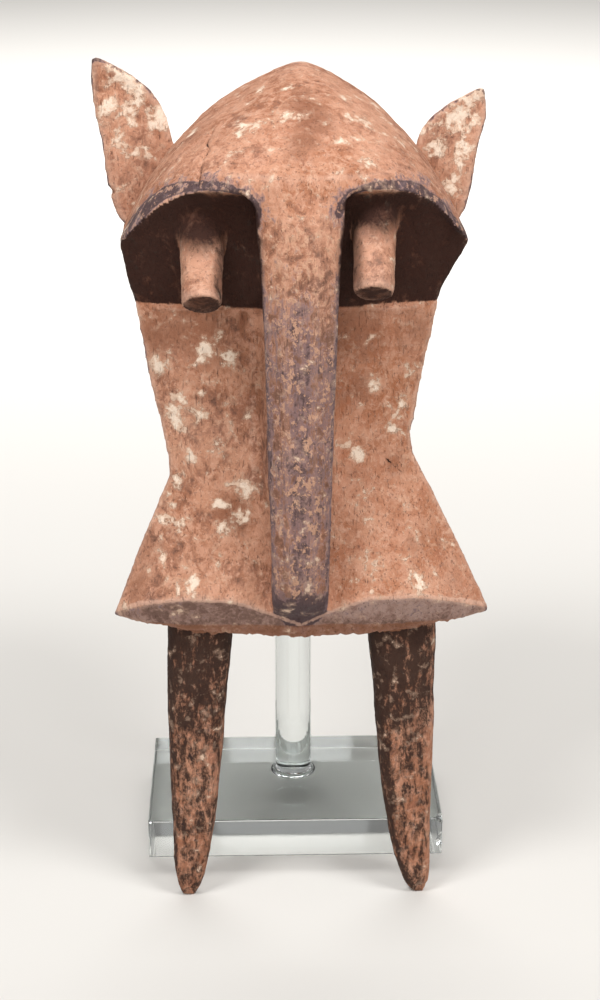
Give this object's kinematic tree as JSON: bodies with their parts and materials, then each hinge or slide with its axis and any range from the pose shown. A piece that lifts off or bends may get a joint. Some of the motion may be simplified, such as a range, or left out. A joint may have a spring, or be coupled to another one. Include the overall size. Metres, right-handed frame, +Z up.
{
  "type": "carved elephant mask on a stand",
  "caption": "Carved wooden elephant mask with a domed hood, tube eyes, hourglass face board, trunk, ears and tusks, held by a clear rod on a clear block.",
  "frame": {"origin": "middle of the clear block's underside, on the surface it stands on", "axes": "+Z up, the face looks towards -Y, +X to the viewer's right"},
  "size_m": [0.2522, 0.2542, 0.536],
  "materials": {
    "aged_wood": "dry, matt, worn, with dark stain and traces of white clay",
    "clear_acrylic_rod": "clear, slightly scratched",
    "clear_acrylic_block": "clear, scratched, with frosted sawn ends"
  },
  "bodies": {
    "root": {"mask": "aged_wood", "stand_rod": "clear_acrylic_rod", "stand_block": "clear_acrylic_block"}
  },
  "joints": []
}
